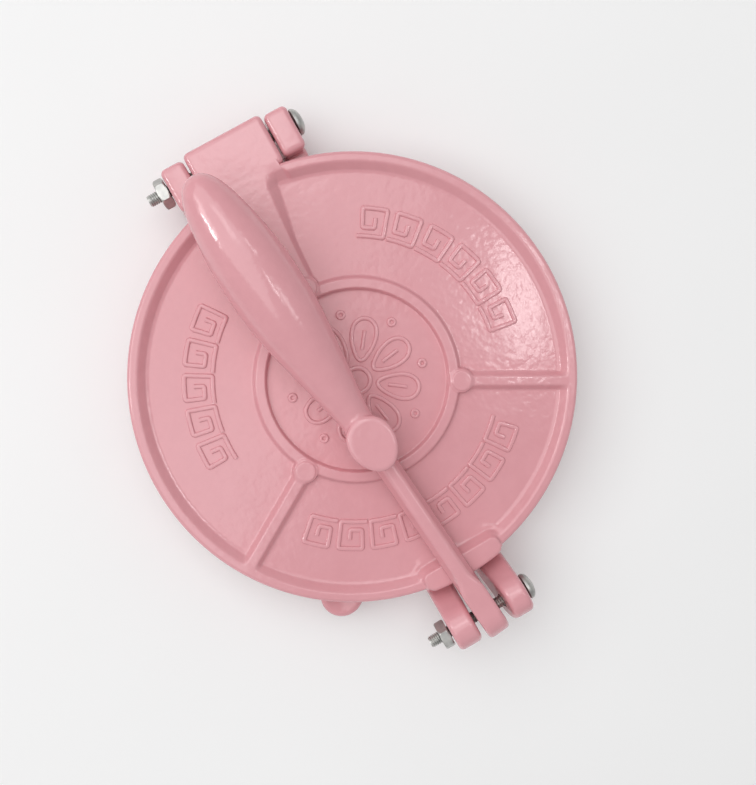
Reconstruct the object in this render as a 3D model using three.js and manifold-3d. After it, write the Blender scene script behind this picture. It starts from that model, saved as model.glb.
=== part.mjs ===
// A small hand-held tortilla press of painted cast aluminium. A base plate stands on short feet.
// A top plate is hinged to its back, and a lever, hinged to its front, lies over the top plate and
// presses it down on a pad at its front edge. Two machine screws with nuts are the hinge pins.
// Millimetres. X runs along both hinge axes, Y from the lever's ears to the plate hinge, Z up.
import * as THREE from 'three';
import { mergeVertices } from 'three/addons/utils/BufferGeometryUtils.js';
import Module from 'manifold-3d';

const wasm = await Module();
wasm.setup();

// Clearances, and how far one form runs past or into another
const overrun = 2; // of a cut past the face it opens
const embed = 1.2; // of a form into the one that carries it
const seatGap = 0.3; // under a screw's head, a nut and the lever's arm
const boreClearance = 0.3; // round a screw in a plain bore

// Plates
const plateRadius = 52;
const plateThickness = 6;
const plateGap = 0.4; // between the closed plates
const edgeRounding = 1;
const footHeight = 5;
const footRadius = 4.5;
const footTaper = 0.6;
const footInset = 10; // from the plate's edge to the feet's middles
const footAngles = [45, 135, 225, 315];

// Relief of the top plate. Three fields and a round medallion are sunk between the rim, the ring,
// two ribs and the wedge. Each form has its edge at the crown and its wider foot on the floor.
const fieldDepth = 1.4;
const fieldCorner = 2;
const rimWidth = 1.4;
const rimWall = 3.1;
const ringRadius = 22.6; // to the middle of its crown
const ringHalf = 0.7;
const ringWall = 0.9;
const ribHalf = 0.75;
const ribWall = 1.75;
const wedgeHalf = 1.5; // at the ring
const wedgeWall = 1.7;
const wedgeHalfAtRim = 3.9;
const wedgeWallAtRim = 2.3;
const wedgeAngle = 90;
const ribAngles = [210, 330];
const knobRadius = 2.3;
const knobWall = 0.5;
const knobOffset = 2; // from the ring's middle to the knobs'
const knobRise = 0.4;

// Pad that the lever presses
const padHalfLength = 10.15;
const padProud = 0.4; // of the pad's front past the plate's edge
const padDepth = 4.9;
const padRise = 1.1;
const padSkirt = 3; // how far its front reaches down below the rim's top
const padCorner = 1.8;
const padEdge = 0.5;

// Relief under the base plate
const underDepth = 2;
const underRimWidth = 3.5;
const underRingRadius = 22;
const underRingHalf = 2;
const underWall = 0.7;
const underRibHalf = 1.5;
const underRibAngles = [0, 90, 180, 270];

// Rounded lug on the base plate's rim
const lugAngle = 237.8;
const lugRadius = 5.2;
const lugProud = 0.6; // of its middle past the plate's edge
const lugDrop = 1.6; // from the base plate's upper face to the lug's
const lugDishRadius = 3.4;
const lugDish = 0.4;

// Plate hinge
const hingeOffset = 6.5; // from the plate's edge to the hinge's axis
const hingeRadius = 4.8;
const blockHalf = 9.8;
const blockCorner = 1.5;
const hingeSideGap = 0.5;
const hingeEarWidth = 5.7;
const hingeEarDrop = 0.5; // of the ear's top below the block's
const hingeEarClear = 0.2; // from the plate's edge to the ear's rising face
const hingeEarEnd = 4.1;
const hingeEarCorner = 1.4;
const earRoot = 6; // how far an ear's foot reaches in under the plate's rim

// Lever hinge
const leverOffset = 10.8; // from the plate's edge to the lever's axis
const leverAxisDrop = 0.2; // of that axis below the rim's top
const leverEarRadius = 5.4;
const leverEarWidth = 6.25;
const leverEarClear = 1.6; // from the rim to the ears' rising faces
const leverWebReach = 3.2; // of the web between the ears past the rim
const leverEarHeel = 4; // from the rim to where the ears' undersides start to rise
const leverEarCorner = 1.4;
const leverGapHalf = 3.95;

// Lever. Its places are distances from its own hinge axis, along it
const skewAngle = 4.8; // the slack hinge lets the lever lie over to one side
const skewShift = 0.35;
const knuckleRadius = 6.2;
const knuckleHalf = 2.85;
const knuckleCorner = 1;
const knuckleSlack = 0.55; // of its bore, wide enough for the skew
const armStart = 2;
const flareStart = 7.4;
const flareEnd = 12.4;
const armTopHalf = 1.4;
const armFootHalf = 3.05;
const armRise = 6; // of the arm's top over the rim's
const armEdge = 0.5;
const bossPlace = 50.2;
const bossHalfWidth = 5.3;
const bossHalfLength = 6.5;
const bossRise = 11.4;
const bossEdge = 1;
const bossTopShare = 0.84;
const bossWaistShare = 0.9;
const bossClear = 0.9; // over the medallion's floor
const bossEggShare = 0.1; // how much wider its grip's half is
const gripStart = 52;
const gripEnd = 119.1;
const gripRadius = 8.2;
const gripStartRise = 6.65; // of the grip's axis over the rim, at its start
const gripPitch = 5.2;
const gripFlatShare = 0.92; // its height over its width

// The grip's form: where along its length, and how wide there, both as shares
const gripFormShares = [
  [0, 0.42], [0.089, 0.475], [0.164, 0.573], [0.24, 0.675], [0.314, 0.774], [0.39, 0.877],
  [0.4635, 0.955], [0.54, 0.995], [0.6, 1], [0.68, 0.98], [0.763, 0.915], [0.838, 0.81],
  [0.912, 0.665], [0.957, 0.512], [0.98, 0.37], [0.994, 0.2],
];

// Screws and nuts
const screwRadius = 1.45;
const headRadius = 3.2;
const headHeight = 2.1;
const headRim = 0.5;
const slotWidth = 0.8;
const slotDepth = 0.9;
const nutAcross = 6.2; // across its flats
const nutHeight = 2.4;
const nutChamfer = 0.35;
const stubLength = 2.7; // of the screw past its nut
const stubChamfer = 0.35;

// How finely the round faces are cut
const plateSegments = 72;
const knobSegments = 20;
const eyeSegments = 24;
const screwSegments = 20;
const bossSegments = 32;
const gripSegments = 28;
const fieldSteps = 18;
const cornerSteps = 3;
const cornerDot = -0.9; // two edges meet in a corner where their directions' product is over this
const setbackShare = 0.4; // the most of an edge that the rounding of one corner may take

const paint = { color: 0xdf98a4, roughness: 0.36, metalness: 0 };
const zinc = { color: 0xb9b9b4, roughness: 0.32, metalness: 1 };

// Heights and places that follow from the sizes. The plates' axis is x = 0, y = 0 until the whole
// press is centred on its own bounding box.
const baseBottom = footHeight;
const baseTop = baseBottom + plateThickness;
const topBottom = baseTop + plateGap;
const rimTop = topBottom + plateThickness;
const floorTop = rimTop - fieldDepth;
const padTop = rimTop + padRise;
const hingeZ = rimTop - hingeRadius;
const hingeEarInner = blockHalf + hingeSideGap;
const hingeEarOuter = hingeEarInner + hingeEarWidth;
const leverEarOuter = leverGapHalf + leverEarWidth;
const leverZ = rimTop - leverAxisDrop;
const skew = THREE.MathUtils.degToRad(skewAngle);
const bossBottom = floorTop + bossClear;
const rimCrown = plateRadius - rimWidth;
const ringCrown = ringRadius + ringHalf;
const footCircle = plateRadius - footInset;
const knobCircle = ringRadius + knobOffset;
const lugCircle = plateRadius + lugProud;
const padFront = plateRadius + padProud;
const hingeReach = plateRadius + hingeOffset;
const leverReach = plateRadius + leverOffset;
const bossTop = rimTop + bossRise;

// Outlines

// Points on an arc, between two angles in degrees
function arc([cx, cy], radius, from, to, steps) {
  return Array.from({ length: steps + 1 }, (_, i) => {
    const angle = THREE.MathUtils.degToRad(from + (to - from) * (i / steps));
    return [cx + radius * Math.cos(angle), cy + radius * Math.sin(angle)];
  });
}

// A whole circle as an outline
function circle(centre, radius, segments) {
  return arc(centre, radius, 0, 360, segments).slice(1);
}

// An outline with its sharp corners rounded off
function rounded(points, radius) {
  return points.flatMap((point, i) => {
    const corner = new THREE.Vector2(...point);
    const sides = [points.at(i - 1), points.at((i + 1) % points.length)]
      .map((neighbour) => new THREE.Vector2(...neighbour).sub(corner));
    const setback = Math.min(radius, ...sides.map((side) => side.length() * setbackShare));
    const [back, on] = sides.map((side) => side.normalize());
    if (back.dot(on) < cornerDot) return [point];
    const start = corner.clone().addScaledVector(back, setback);
    const end = corner.clone().addScaledVector(on, setback);
    const curve = new THREE.QuadraticBezierCurve(start, corner, end);
    return curve.getPoints(cornerSteps).map(({ x, y }) => [x, y]);
  });
}

function rectangle([fromX, toX], [fromY, toY], corner) {
  return rounded([[fromX, fromY], [toX, fromY], [toX, toY], [fromX, toY]], corner);
}

// The outline of a band pulled round points
function hull(points) {
  const sorted = [...points].sort(([ax, ay], [bx, by]) => ax - bx || ay - by);
  const half = (list) => {
    const chain = [];
    for (const [x, y] of list) {
      while (chain.length > 1) {
        const [[ax, ay], [bx, by]] = chain.slice(-2);
        if ((bx - ax) * (y - ay) - (by - ay) * (x - ax) > 0) break;
        chain.pop();
      }
      chain.push([x, y]);
    }
    return chain.slice(0, -1);
  };
  return [...half(sorted), ...half(sorted.toReversed())];
}

// Solids

// A geometry as a solid, with its faces turned outward
function solidOf(geometry) {
  const bare = geometry.clone();
  bare.deleteAttribute('normal');
  bare.deleteAttribute('uv');
  const merged = mergeVertices(bare);
  const at = merged.getAttribute('position');
  const corners = [new THREE.Vector3(), new THREE.Vector3(), new THREE.Vector3()];
  const faces = [];
  let volume = 0;
  for (let i = 0; i < merged.index.count; i += 3) {
    const face = Array.from(merged.index.array.slice(i, i + 3));
    if (new Set(face).size === 3) {
      const [a, b, c] = corners.map((corner, k) => corner.fromBufferAttribute(at, face[k]));
      volume += a.dot(b.cross(c));
      faces.push(face);
    }
  }
  const triVerts = new Uint32Array(faces.flatMap(([a, b, c]) => (volume > 0 ? [a, b, c] : [a, c, b])));
  const vertProperties = new Float32Array(at.array);
  return new wasm.Manifold(new wasm.Mesh({ numProp: 3, vertProperties, triVerts }));
}

const joined = (solids) => solids.reduce((whole, solid) => whole.add(solid));
const without = (solid, cuts) => cuts.reduce((rest, cut) => rest.subtract(cut), solid);

// A geometry turned round Z from [radius, height] points that start and end on the axis
function turned(profile, segments) {
  const points = profile.map(([radius, height]) => new THREE.Vector2(radius, height));
  return new THREE.LatheGeometry(points, segments).rotateX(Math.PI / 2);
}

// A solid with one [y, z] outline all along X
function alongX(outline, from, to) {
  const shape = new THREE.Shape(outline.map(([y, z]) => new THREE.Vector2(y, z)));
  const geometry = new THREE.ExtrudeGeometry(shape, { depth: to - from, bevelEnabled: false });
  const basis = new THREE.Matrix4().makeBasis(
    new THREE.Vector3(0, 1, 0), new THREE.Vector3(0, 0, 1), new THREE.Vector3(1, 0, 0));
  return solidOf(geometry.applyMatrix4(basis).translate(from, 0, 0));
}

// A solid with one [x, y] outline all the way up
function upright(outline, bottom, top) {
  return lofted([bottom, top].map((z) => outline.map(([x, y]) => [x, y, z])));
}

// A solid through rings of [x, y, z] points, all of one length. flatten gives a ring's points in
// its own plane
function lofted(rings, flatten = ([x, y]) => [x, y]) {
  const count = rings[0].length;
  const index = rings.slice(1).flatMap((_, ring) => rings[0].flatMap((__, i) => {
    const a = ring * count + i;
    const b = ring * count + (i + 1) % count;
    return [a, b, b + count, a, b + count, a + count];
  }));
  const capFaces = (ring) => THREE.ShapeUtils.triangulateShape(
    ring.map((point) => new THREE.Vector2(...flatten(point))), []);
  const last = (rings.length - 1) * count;
  capFaces(rings[0]).forEach(([a, b, c]) => index.push(c, b, a));
  capFaces(rings.at(-1)).forEach(([a, b, c]) => index.push(last + a, last + b, last + c));
  const geometry = new THREE.BufferGeometry();
  geometry.setAttribute('position', new THREE.Float32BufferAttribute(rings.flat(2), 3));
  return solidOf(geometry.setIndex(index));
}

// A round bar along X, or the bore for one
function barAlongX(y, z, radius, from, to) {
  const bar = new THREE.CylinderGeometry(radius, radius, to - from, screwSegments);
  return solidOf(bar.rotateZ(Math.PI / 2).translate((from + to) / 2, y, z));
}

// The same solid on the other side of x = 0 as well
const bothSides = (solid) => [solid, solid.mirror([1, 0, 0])];

// Relief

// A sunk field's outline at one level, from the first bar round to the second
function fieldOutline(level, first, second) {
  const turn = (bar, end) => THREE.MathUtils.radToDeg(Math.asin(level[bar.kind][end] / level[end]));
  const sweep = (end) => [first.angle + turn(first, end), second.angle - turn(second, end)];
  const [rimFrom, rimTo] = sweep('rim');
  const [ringFrom, ringTo] = sweep('ring');
  return rounded([
    ...arc([0, 0], level.rim, rimFrom, rimTo, fieldSteps),
    ...arc([0, 0], level.ring, ringTo, ringFrom, fieldSteps),
  ], fieldCorner);
}

// The cuts between bars. The levels go from the crowns' to the floor's, and the first one is
// carried past the face by the overrun
function fieldCuts(bars, crown, foot, past) {
  return bars.map((bar, i) => {
    const next = bars[(i + 1) % bars.length];
    const second = { ...next, angle: next.angle + (next.angle > bar.angle ? 0 : 360) };
    return lofted([{ ...crown, z: crown.z + past }, crown, foot].map((level) => (
      fieldOutline(level, bar, second).map(([x, y]) => [x, y, level.z]))));
  });
}

// The round cut inside the ring
function medallionCut(crownRadius, footRadius, from, to, past) {
  return solidOf(turned([
    [0, from + past], [crownRadius, from + past], [crownRadius, from], [footRadius, to], [0, to],
  ], plateSegments));
}

// A plate's plain disc, with its long edges rounded
function disc(bottom, top) {
  const edge = arc([plateRadius - edgeRounding, top - edgeRounding], edgeRounding, 0, 90, cornerSteps);
  const lower = edge.map(([radius, z]) => [radius, bottom + top - z]).toReversed();
  return solidOf(turned([[0, bottom], ...lower, ...edge, [0, top]], plateSegments));
}

// Base plate

function underCuts() {
  const bars = underRibAngles.map((angle) => ({ angle, kind: 'rib' }));
  const level = (wall, z) => ({
    rim: plateRadius - underRimWidth - wall,
    ring: underRingRadius + underRingHalf + wall,
    rib: { ring: underRibHalf + wall, rim: underRibHalf + wall },
    z,
  });
  const middle = underRingRadius - underRingHalf;
  const roof = baseBottom + underDepth;
  return [
    ...fieldCuts(bars, level(0, baseBottom), level(underWall, roof), -overrun),
    medallionCut(middle, middle - underWall, baseBottom, roof, -overrun),
  ];
}

function feet() {
  const profile = [
    [0, 0], [footRadius - footTaper, 0], [footRadius, footHeight],
    [footRadius, baseBottom + underDepth + embed], [0, baseBottom + underDepth + embed],
  ];
  return footAngles.map((angle) => {
    const [[x, y]] = arc([0, 0], footCircle, angle, angle, 1);
    return solidOf(turned(profile, knobSegments).translate(x, y, 0));
  });
}

function hingeEar() {
  const [front, end] = [plateRadius + hingeEarClear, hingeReach + hingeEarEnd];
  const top = rimTop - hingeEarDrop;
  const side = joined([
    alongX(rounded([[front, baseBottom], [end - hingeEarCorner, baseBottom], [end, baseBottom + hingeEarCorner],
      [end, top], [front, top]], hingeEarCorner), hingeEarInner, hingeEarOuter),
    alongX([[plateRadius - earRoot, baseBottom], [hingeReach, baseBottom], [hingeReach, baseTop],
      [plateRadius - earRoot, baseTop]], hingeEarInner, hingeEarOuter),
  ]);
  const plan = rectangle([hingeEarInner, hingeEarOuter], [plateRadius - earRoot, end], hingeEarCorner / 2);
  return side.intersect(upright(plan, 0, rimTop));
}

function leverEar() {
  const eye = circle([-leverReach, leverZ], leverEarRadius, eyeSegments);
  const rise = [-(plateRadius + leverEarClear), baseTop];
  const heel = [-(plateRadius + leverEarHeel), baseBottom];
  const plan = rectangle([leverGapHalf, leverEarOuter],
    [-(leverReach + leverEarRadius), -(plateRadius + leverEarClear)], leverEarCorner);
  const ear = alongX(hull([...eye, rise, heel, [rise[0], baseBottom]]), leverGapHalf, leverEarOuter);
  const back = rise[0] + embed;
  const outline = [...plan.filter(([, y]) => y < -leverReach), [leverEarOuter, back], [leverGapHalf, back]];
  return ear.intersect(upright(hull(outline), 0, leverZ + leverEarRadius + overrun));
}

function lug() {
  const [centre] = arc([0, 0], lugCircle, lugAngle, lugAngle, 1);
  const top = baseTop - lugDrop;
  const tab = upright(circle(centre, lugRadius, eyeSegments), baseBottom, top);
  const dish = turned([[0, top - lugDish], [lugDishRadius, top], [lugDishRadius, top + overrun],
    [0, top + overrun]], knobSegments).translate(...centre, 0);
  return tab.subtract(solidOf(dish));
}

function basePlate() {
  const web = upright([[-leverEarOuter, -(plateRadius + leverWebReach)],
    [leverEarOuter, -(plateRadius + leverWebReach)], [leverEarOuter, earRoot - plateRadius],
    [-leverEarOuter, earRoot - plateRadius]], baseBottom, baseTop);
  return without(joined([
    without(disc(baseBottom, baseTop), underCuts()),
    ...feet(),
    ...bothSides(hingeEar()),
    ...bothSides(leverEar()),
    web,
    lug(),
  ]), [
    barAlongX(hingeReach, hingeZ, screwRadius + boreClearance,
      -hingeEarOuter - overrun, hingeEarOuter + overrun),
    barAlongX(-leverReach, leverZ, screwRadius + boreClearance,
      -leverEarOuter - overrun, leverEarOuter + overrun),
  ]);
}

// Top plate

function topRelief() {
  const bars = [
    { angle: wedgeAngle, kind: 'wedge' },
    ...ribAngles.map((angle) => ({ angle, kind: 'rib' })),
  ];
  const crown = {
    rim: rimCrown,
    ring: ringCrown,
    wedge: { ring: wedgeHalf, rim: wedgeHalfAtRim },
    rib: { ring: ribHalf, rim: ribHalf },
    z: rimTop,
  };
  const foot = {
    rim: rimCrown - rimWall,
    ring: ringCrown + ringWall,
    wedge: { ring: wedgeHalf + wedgeWall, rim: wedgeHalfAtRim + wedgeWallAtRim },
    rib: { ring: ribHalf + ribWall, rim: ribHalf + ribWall },
    z: floorTop,
  };
  const middle = ringRadius - ringHalf;
  return [
    ...fieldCuts(bars, crown, foot, overrun),
    medallionCut(middle, middle - ringWall, rimTop, floorTop, overrun),
  ];
}

function knobs() {
  const profile = [
    [0, floorTop - embed], [knobRadius + knobWall, floorTop - embed],
    [knobRadius + knobWall, floorTop], [knobRadius, rimTop],
    [knobRadius - knobRise, rimTop + knobRise], [0, rimTop + knobRise],
  ];
  return [wedgeAngle, ...ribAngles].map((angle) => {
    const [[x, y]] = arc([0, 0], knobCircle, angle, angle, 1);
    return solidOf(turned(profile, knobSegments).translate(x, y, 0));
  });
}

function pad() {
  const level = (inset, z) => rectangle([inset - padHalfLength, padHalfLength - inset],
    [inset - padFront, padDepth - padFront - inset], padCorner).map(([x, y]) => [x, y, z]);
  return lofted([level(0, rimTop - padSkirt), level(0, padTop - padEdge), level(padEdge, padTop)]);
}

function hingeBlock() {
  const [front, neck] = [plateRadius - earRoot, hingeReach - hingeRadius];
  const [low, end] = [hingeZ - hingeRadius, hingeReach + hingeRadius];
  const side = rounded([[front, topBottom], [neck, topBottom], [neck, low], [end, low],
    [end, rimTop], [front, rimTop]], blockCorner);
  const plan = rectangle([-blockHalf, blockHalf], [front, end], blockCorner);
  return alongX(side, -blockHalf, blockHalf).intersect(upright(plan, 0, rimTop + overrun));
}

function topPlate() {
  return without(joined([
    without(disc(topBottom, rimTop).add(hingeBlock()), topRelief()),
    ...knobs(),
    pad(),
  ]), [
    barAlongX(hingeReach, hingeZ, screwRadius + boreClearance, -blockHalf - overrun, blockHalf + overrun),
  ]);
}

// Lever, made along +Y from its hinge axis and then turned and carried to its place

function knuckle() {
  const eye = alongX(circle([0, leverZ], knuckleRadius, eyeSegments), -knuckleHalf, knuckleHalf);
  const plan = rectangle([-knuckleHalf, knuckleHalf], [-knuckleRadius, knuckleRadius], knuckleCorner);
  const bore = screwRadius + knuckleSlack;
  return without(eye.intersect(upright(plan, 0, rimTop + armRise + overrun)), [
    barAlongX(0, leverZ, bore, -knuckleHalf - overrun, knuckleHalf + overrun),
  ]);
}

function arm() {
  const bottom = padTop + seatGap;
  const top = rimTop + armRise;
  const section = (y, topHalf, footHalf) => [
    [-footHalf, y, bottom], [footHalf, y, bottom], [topHalf, y, top - armEdge],
    [topHalf - armEdge, y, top], [armEdge - topHalf, y, top], [-topHalf, y, top - armEdge],
  ];
  return lofted([
    section(armStart, knuckleHalf - armEdge, knuckleHalf),
    section(flareStart, knuckleHalf, knuckleHalf),
    section(flareEnd, armTopHalf, armFootHalf),
    section(bossPlace, armTopHalf, armFootHalf),
  ], ([x, , z]) => [x, z]);
}

function boss() {
  const ring = (share, z) => circle([0, 0], 1, bossSegments).map(([across, along]) => [
    across * bossHalfWidth * share * (1 + along * bossEggShare),
    bossPlace + along * bossHalfLength * share,
    z,
  ]);
  return lofted([
    ring(bossWaistShare, bossBottom),
    ring(1, bossTop - 2 * bossEdge),
    ring((2 + bossTopShare) / 3, bossTop - bossEdge / 2),
    ring(bossTopShare, bossTop),
  ]);
}

function grip() {
  const pitch = Math.tan(THREE.MathUtils.degToRad(gripPitch));
  const rings = gripFormShares.map(([along, wide]) => {
    const distance = along * (gripEnd - gripStart);
    const height = rimTop + gripStartRise + distance * pitch;
    return circle([0, 0], wide * gripRadius, gripSegments).map(([x, z]) => (
      [x, gripStart + distance, height + z * gripFlatShare]));
  });
  return lofted(rings, ([x, , z]) => [x, z]);
}

function lever() {
  const whole = joined([knuckle(), arm(), boss(), grip()]);
  return whole.rotate([0, 0, skewAngle]).translate([-skewShift, -leverReach, 0]);
}

// Screws and nuts

// A screw along X with its head seated at x = seat and its end at x = end
function screw(y, z, seat, end) {
  const dome = arc([0, 0], 1, 0, 90, 2 * cornerSteps).map(([out, up]) => (
    [out * headRadius, headRim + up * (headHeight - headRim)]));
  const profile = [
    [0, end - seat], [screwRadius - stubChamfer, end - seat], [screwRadius, end - seat + stubChamfer],
    [screwRadius, 0], [headRadius, 0], ...dome.slice(0, -1), [0, headHeight],
  ];
  const slot = new THREE.BoxGeometry(2 * slotDepth, 2 * headRadius + overrun, slotWidth);
  const body = solidOf(turned(profile, screwSegments).rotateY(Math.PI / 2));
  return body.subtract(solidOf(slot.translate(headHeight, 0, 0))).translate([seat, y, z]);
}

// A nut that stands to the -X side of x = seat, with a corner up
function nut(y, z, seat) {
  const corner = nutAcross / Math.sqrt(3);
  const hexagon = new THREE.CylinderGeometry(corner, corner, nutHeight, 6).rotateZ(Math.PI / 2);
  const cone = turned([
    [0, 0], [corner - nutChamfer, 0], [corner + nutChamfer, nutChamfer],
    [corner + nutChamfer, nutHeight - nutChamfer], [corner - nutChamfer, nutHeight], [0, nutHeight],
  ], knobSegments).rotateY(-Math.PI / 2);
  const whole = solidOf(hexagon.translate(-nutHeight / 2, 0, 0)).intersect(solidOf(cone));
  const bore = barAlongX(0, 0, screwRadius + boreClearance, -nutHeight - overrun, overrun);
  return whole.subtract(bore).translate([seat, y, z]);
}

function fastened(name, y, z, outer) {
  const seat = outer + seatGap;
  return [
    [`${name}_screw`, screw(y, z, seat, -(seat + nutHeight + stubLength)), zinc],
    [`${name}_nut`, nut(y, z, -seat), zinc],
  ];
}

// The press, centred on its bounding box in plan

const pieces = [
  ['base_plate', basePlate(), paint],
  ['top_plate', topPlate(), paint],
  ['lever', lever(), paint],
  ...fastened('hinge', hingeReach, hingeZ, hingeEarOuter),
  ...fastened('lever', -leverReach, leverZ, leverEarOuter),
];
const knuckleEnd = knuckleRadius * Math.cos(skew) + (knuckleHalf - knuckleCorner) * Math.sin(skew);
const frontEnd = -(leverReach + knuckleEnd);
const backEnd = hingeReach + hingeRadius;
const centreY = (frontEnd + backEnd) / 2;

const group = new THREE.Group();
group.name = 'tortilla_press';
for (const [name, solid, finish] of pieces) {
  const { vertProperties, triVerts } = solid.translate([0, -centreY, 0]).getMesh();
  const geometry = new THREE.BufferGeometry();
  geometry.setAttribute('position', new THREE.BufferAttribute(vertProperties, 3));
  geometry.setIndex(new THREE.BufferAttribute(triVerts, 1));
  const faceted = geometry.toNonIndexed();
  faceted.computeVertexNormals();
  const mesh = new THREE.Mesh(faceted, new THREE.MeshStandardMaterial(finish));
  mesh.name = name;
  group.add(mesh);
}

export default group;
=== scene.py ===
# A small tortilla press in pink painted cast aluminium, closed, seen from above.
# Sizes are in millimetres from the middle of the round plates, with z = 0 at the feet, and are
# turned into metres when a piece is made. Pairs of sizes go from the inner or lower one to the
# outer or higher one, and profiles are tables of (radius, height).
import math

import bmesh
import bpy
import numpy as np
from mathutils import Matrix, Vector
from mathutils.geometry import convex_hull_2d


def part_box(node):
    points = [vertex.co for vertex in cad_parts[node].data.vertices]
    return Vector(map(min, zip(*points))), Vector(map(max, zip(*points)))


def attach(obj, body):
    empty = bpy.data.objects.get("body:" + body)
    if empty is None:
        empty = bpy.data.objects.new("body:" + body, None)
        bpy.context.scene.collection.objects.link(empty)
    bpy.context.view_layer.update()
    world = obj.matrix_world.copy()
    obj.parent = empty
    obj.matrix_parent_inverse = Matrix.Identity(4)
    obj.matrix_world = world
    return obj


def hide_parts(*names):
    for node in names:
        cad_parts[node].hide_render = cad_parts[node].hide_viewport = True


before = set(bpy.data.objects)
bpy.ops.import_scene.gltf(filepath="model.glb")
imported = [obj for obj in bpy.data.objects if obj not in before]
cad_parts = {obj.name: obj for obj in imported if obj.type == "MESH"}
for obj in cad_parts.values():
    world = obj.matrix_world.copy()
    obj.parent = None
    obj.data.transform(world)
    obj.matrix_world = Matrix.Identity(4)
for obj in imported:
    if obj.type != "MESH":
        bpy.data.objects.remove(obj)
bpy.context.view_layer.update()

MM = 0.001
SIDES = (-1, 1)
QUARTERS = (0, 90, 180, 270)

# The two round plates
PLATE_RADIUS = 52.25
BASE_BOTTOM, BASE_TOP = 5.0, 11.0
TOP_BOTTOM, RIM_TOP = 11.4, 17.4
EDGE, UPPER_EDGE_TURNS, LOWER_EDGE_TURNS = 1.0, (15, 30, 45, 60, 75, 90), (90, 60, 30, 0)
FIELD_DEPTH = 1.75
OVERLAP = 0.01

# The top plate's rim, ring, ribs, wedge, knobs and pad
RIM_CROWN, RIM_WALL, RIM_CORNER, RIM_CORNER_GAP = 50.35, 3.05, 0.95, 0.4
RIM_STEEP, RIM_BEND, RIM_SOFT = 1.22, 0.58, 0.22
RING_RADIUS, RING_CROWN, RING_WALLS = 22.6, (21.5, 23.3), (0.7, 1.2)
RING_SHARE, RING_SOFT = 0.85, 0.4
RIB_ANGLES = (210.5, 330.5)
RIB_HALF, RIB_WALL, RIB_SHARE, RIB_SOFT = 0.8, 1.65, 0.88, 0.32
WEDGE_ANGLE = 90
WEDGE_PLACES = (RING_RADIUS, 35.0, 47.5, 51.4)
WEDGE_CROWN = (1.5, 2.1, 3.0, 4.4)
WEDGE_FOOT = (2.7, 3.5, 6.2, 7.4)
KNOB_CIRCLE, KNOB_RADIUS, KNOB_WALL = 24.3, 2.6, 0.6
KNOB_RISE, KNOB_EDGE, KNOB_SOFT = 0.3, 0.5, 0.35
PAD_HALF, PAD_FRONT, PAD_BACK, PAD_CORNER, PAD_TURN = 10.15, 53.1, 47.5, 1.8, 0.008
PAD_RISE, PAD_EDGE, PAD_SOFT, PAD_LIP = 1.1, 0.8, 0.42, 0.5
PAD_WALL_START, PAD_WALL, PAD_WALL_OPEN = 0.15, 1.2, 12
PAD_STEP_START, PAD_STEP, PAD_STEP_SHARE = 2.1, 0.5, 0.1
TONGUE_HALF, TONGUE_END = 8.4, 57.0
REACH_LIMIT, REACH_STEPS = 58, 1201

# How fine the plates' meshes are: rows as (from, to, step) and closer spokes as (middle, reach)
TOP_ROWS = ((3, 20, 4), (20.4, 25, 0.16), (25.1, 28.4, 0.33), (29.5, 46.2, 1.5), (46.4, 51.1, 0.17))
TOP_FLAT_ROWS, BASE_FLAT_ROWS = (48, 30, 10), (10, 30, 48, 50)
UNDER_ROWS = ((50, 46.6, -0.3), (45, 26, -2.5), (25.6, 18.6, -0.3), (14, 7, -6))
TOP_SPOKES = ((WEDGE_ANGLE, 13), *((angle, 7.5) for angle in RIB_ANGLES), (270.5, 14))
TOP_SPOKE_STEP = 0.22
UNDER_SPOKE_REACH, UNDER_SPOKE_STEP = 8, 0.5
OUTER_SHARES = (0.35, 0.7, 1.0)

# The base plate's under face, feet, lug and the web below the lever's ears
UNDER_DEPTH, UNDER_RIM, UNDER_RING, UNDER_WALL, UNDER_RIB_HALF = 2.0, 48.5, (20.0, 24.0), 1.2, 1.5
FOOT_CIRCLE, FOOT_ANGLES, FOOT_POINTS = 42.0, (45, 135, 225, 315), 40
FOOT_PROFILE = (
    (0, 0), (3.2, 0), (3.6, 0.12), (3.85, 0.45),
    (4.4, 4.2), (4.7, 5.5), (5.3, 7.1), (0, 7.6),
)
LUG_ANGLE, LUG_CIRCLE, LUG_TOP, LUG_POINTS = 237.2, 53.0, 9.4, 48
LUG_PROFILE = (
    (0, 5), (4.4, 5), (4.97, 5.25), (5.2, 5.8),
    (5.2, LUG_TOP - 0.9), (5.0, LUG_TOP - 0.35), (4.5, LUG_TOP - 0.03), (4.0, LUG_TOP),
    (3.2, LUG_TOP - 0.12), (1.8, LUG_TOP - 0.4), (0, LUG_TOP - 0.5),
)
WEB_HALF, WEB_FRONT, WEB_BACK, WEB_CORNER, WEB_EDGE = 10.2, -55.2, -46, 1.2, 0.8

# The raised ornament
ORNAMENT_LEVEL = RIM_TOP - FIELD_DEPTH
RIDGE_HALF, RIDGE_RISE = 0.56, 0.42
RIDGE_SECTION = (
    (-1, -0.06), (-1, 0.04), (-0.86, 0.25), (-0.66, 0.36), (-0.4, RIDGE_RISE),
    (0.4, RIDGE_RISE), (0.66, 0.36), (0.86, 0.25), (1, 0.04), (1, -0.06),
)
FRET_CIRCLE, FRET_TALL, FRET_STEP, FRET_GAP = 36.5, 6.4, 7.6, 0.9
FRET_CORNER, FRET_CORNER_PLACES, FRET_STRETCH = 0.45, (0, 0.33, 0.67, 1), 1.2
FRET_HOOK = ((0, 0), (0, 1), (0.7, 1), (0.7, 0.3), (0.32, 0.3), (0.32, 0.66))
FRET_ROWS = ((-9, 6), (125, 5), (222, 8))
PETALS, PETAL_TURN, PETAL_MIDDLE = 8, 8, 9.6
PETAL_LONG, PETAL_WIDE, PETAL_TAPER = 4.9, 2.75, 0.32
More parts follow.
